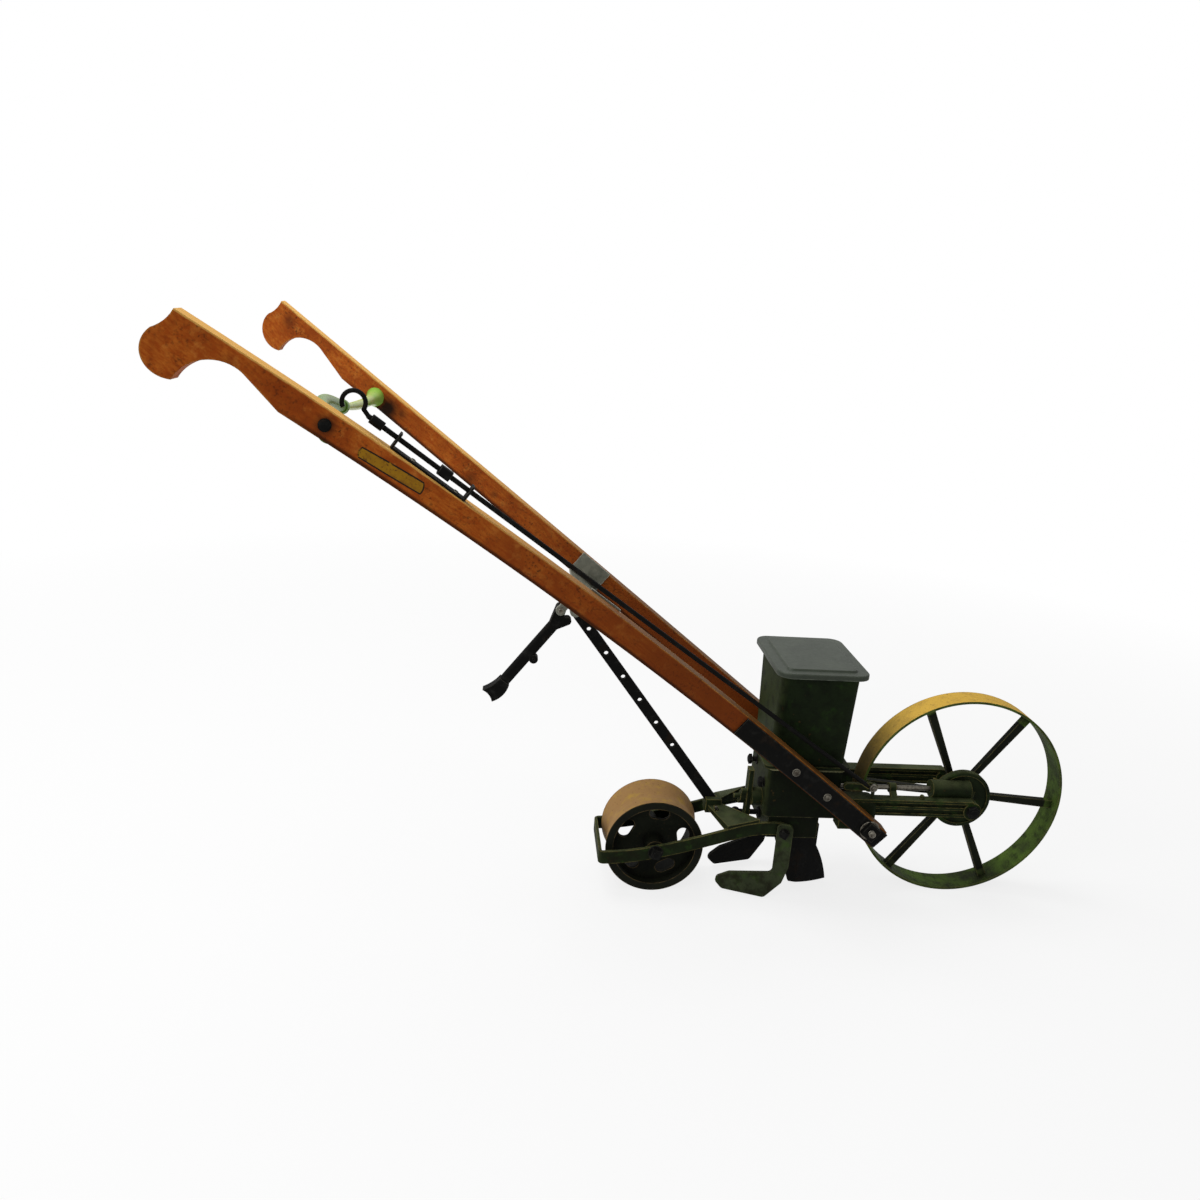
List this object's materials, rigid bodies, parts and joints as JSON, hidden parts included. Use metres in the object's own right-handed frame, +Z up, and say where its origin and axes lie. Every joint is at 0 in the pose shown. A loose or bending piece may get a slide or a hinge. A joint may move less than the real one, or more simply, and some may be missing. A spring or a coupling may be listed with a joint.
{
  "type": "walk-behind seed drill",
  "caption": "Walk-behind seed drill with a spoked front wheel, seed hopper, furrow shoe, coverers, grooved press roller and bent wooden handles.",
  "frame": {"origin": "on the ground, under the middle of the whole drill", "axes": "+X forward, the way it is pushed, +Y to its left, +Z up"},
  "size_m": [1.375, 0.6038, 0.896],
  "materials": {
    "varnished_wood": "varnished, worn",
    "black_iron": "black paint, matt",
    "dark_green_paint": "dark green paint, worn",
    "lid_paint": "grey green paint, faded",
    "ochre_paint": "ochre paint, worn",
    "roller_iron": "bare, weathered",
    "light_green_enamel": "glossy enamel",
    "galvanised_sheet": "dull zinc",
    "steel": "oiled"
  },
  "bodies": {
    "frame": {"body_casting": "dark_green_paint", "hopper": "dark_green_paint", "lid_hinge_pin": "steel", "fork_arm_right": "dark_green_paint", "fork_arm_left": "dark_green_paint", "gear_case": "dark_green_paint", "front_axle": "steel", "handle_right": "varnished_wood", "handle_left": "varnished_wood", "handle_strap_right": "black_iron", "handle_strap_left": "black_iron", "pivot_bolt_right": "black_iron", "pivot_bolt_left": "black_iron", "spreader_horn_right": "light_green_enamel", "spreader_horn_left": "light_green_enamel", "spreader_sleeve": "light_green_enamel", "middle_brace": "galvanised_sheet", "leg_pin": "steel", "brace_bar": "black_iron", "bar_pins": "steel", "saddle": "dark_green_paint", "tie_link": "black_iron", "roller_yoke": "dark_green_paint", "roller_axle": "steel", "opener_shoe": "black_iron", "coverer_right": "dark_green_paint", "coverer_left": "black_iron", "gate_boss": "dark_green_paint", "gate_bar": "dark_green_paint", "gate_nut": "dark_green_paint", "control_rod": "black_iron", "rod_sleeve": "black_iron", "rod_collar": "black_iron", "rod_guide": "black_iron", "feed_lever": "dark_green_paint"},
    "front_wheel": {"front_wheel": "ochre_paint"},
    "press_roller": {"press_roller": "roller_iron"},
    "lid": {"hopper_lid": "lid_paint"},
    "rest_leg": {"rest_leg": "black_iron"},
    "drive_shaft": {"drive_shaft": "steel"}
  },
  "joints": [
    {"name": "front_wheel_spin", "type": "hinge", "parent": "frame", "child": "front_wheel", "pos_m": [0.5125, 0, 0.175], "axis": [0, 1, 0], "continuous": true},
    {"name": "press_roller_spin", "type": "hinge", "parent": "frame", "child": "press_roller", "pos_m": [-0.0025, 0, 0.081], "axis": [0, 1, 0], "continuous": true},
    {"name": "lid_hinge", "type": "hinge", "parent": "frame", "child": "lid", "pos_m": [0.2975, 0, 0.404], "axis": [0, 1, 0], "range_deg": [0, 100]},
    {"name": "rest_leg_fold", "type": "hinge", "parent": "frame", "child": "rest_leg", "pos_m": [-0.178, 0, 0.471], "axis": [0, 1, 0], "range_deg": [0, 85]},
    {"name": "drive_shaft_spin", "type": "hinge", "parent": "frame", "child": "drive_shaft", "pos_m": [0.4, -0.042, 0.202], "axis": [1, 0, 0], "continuous": true}
  ],
  "couplings": [
    {"joint": "drive_shaft_spin", "follows": "front_wheel_spin", "ratio": 3}
  ]
}
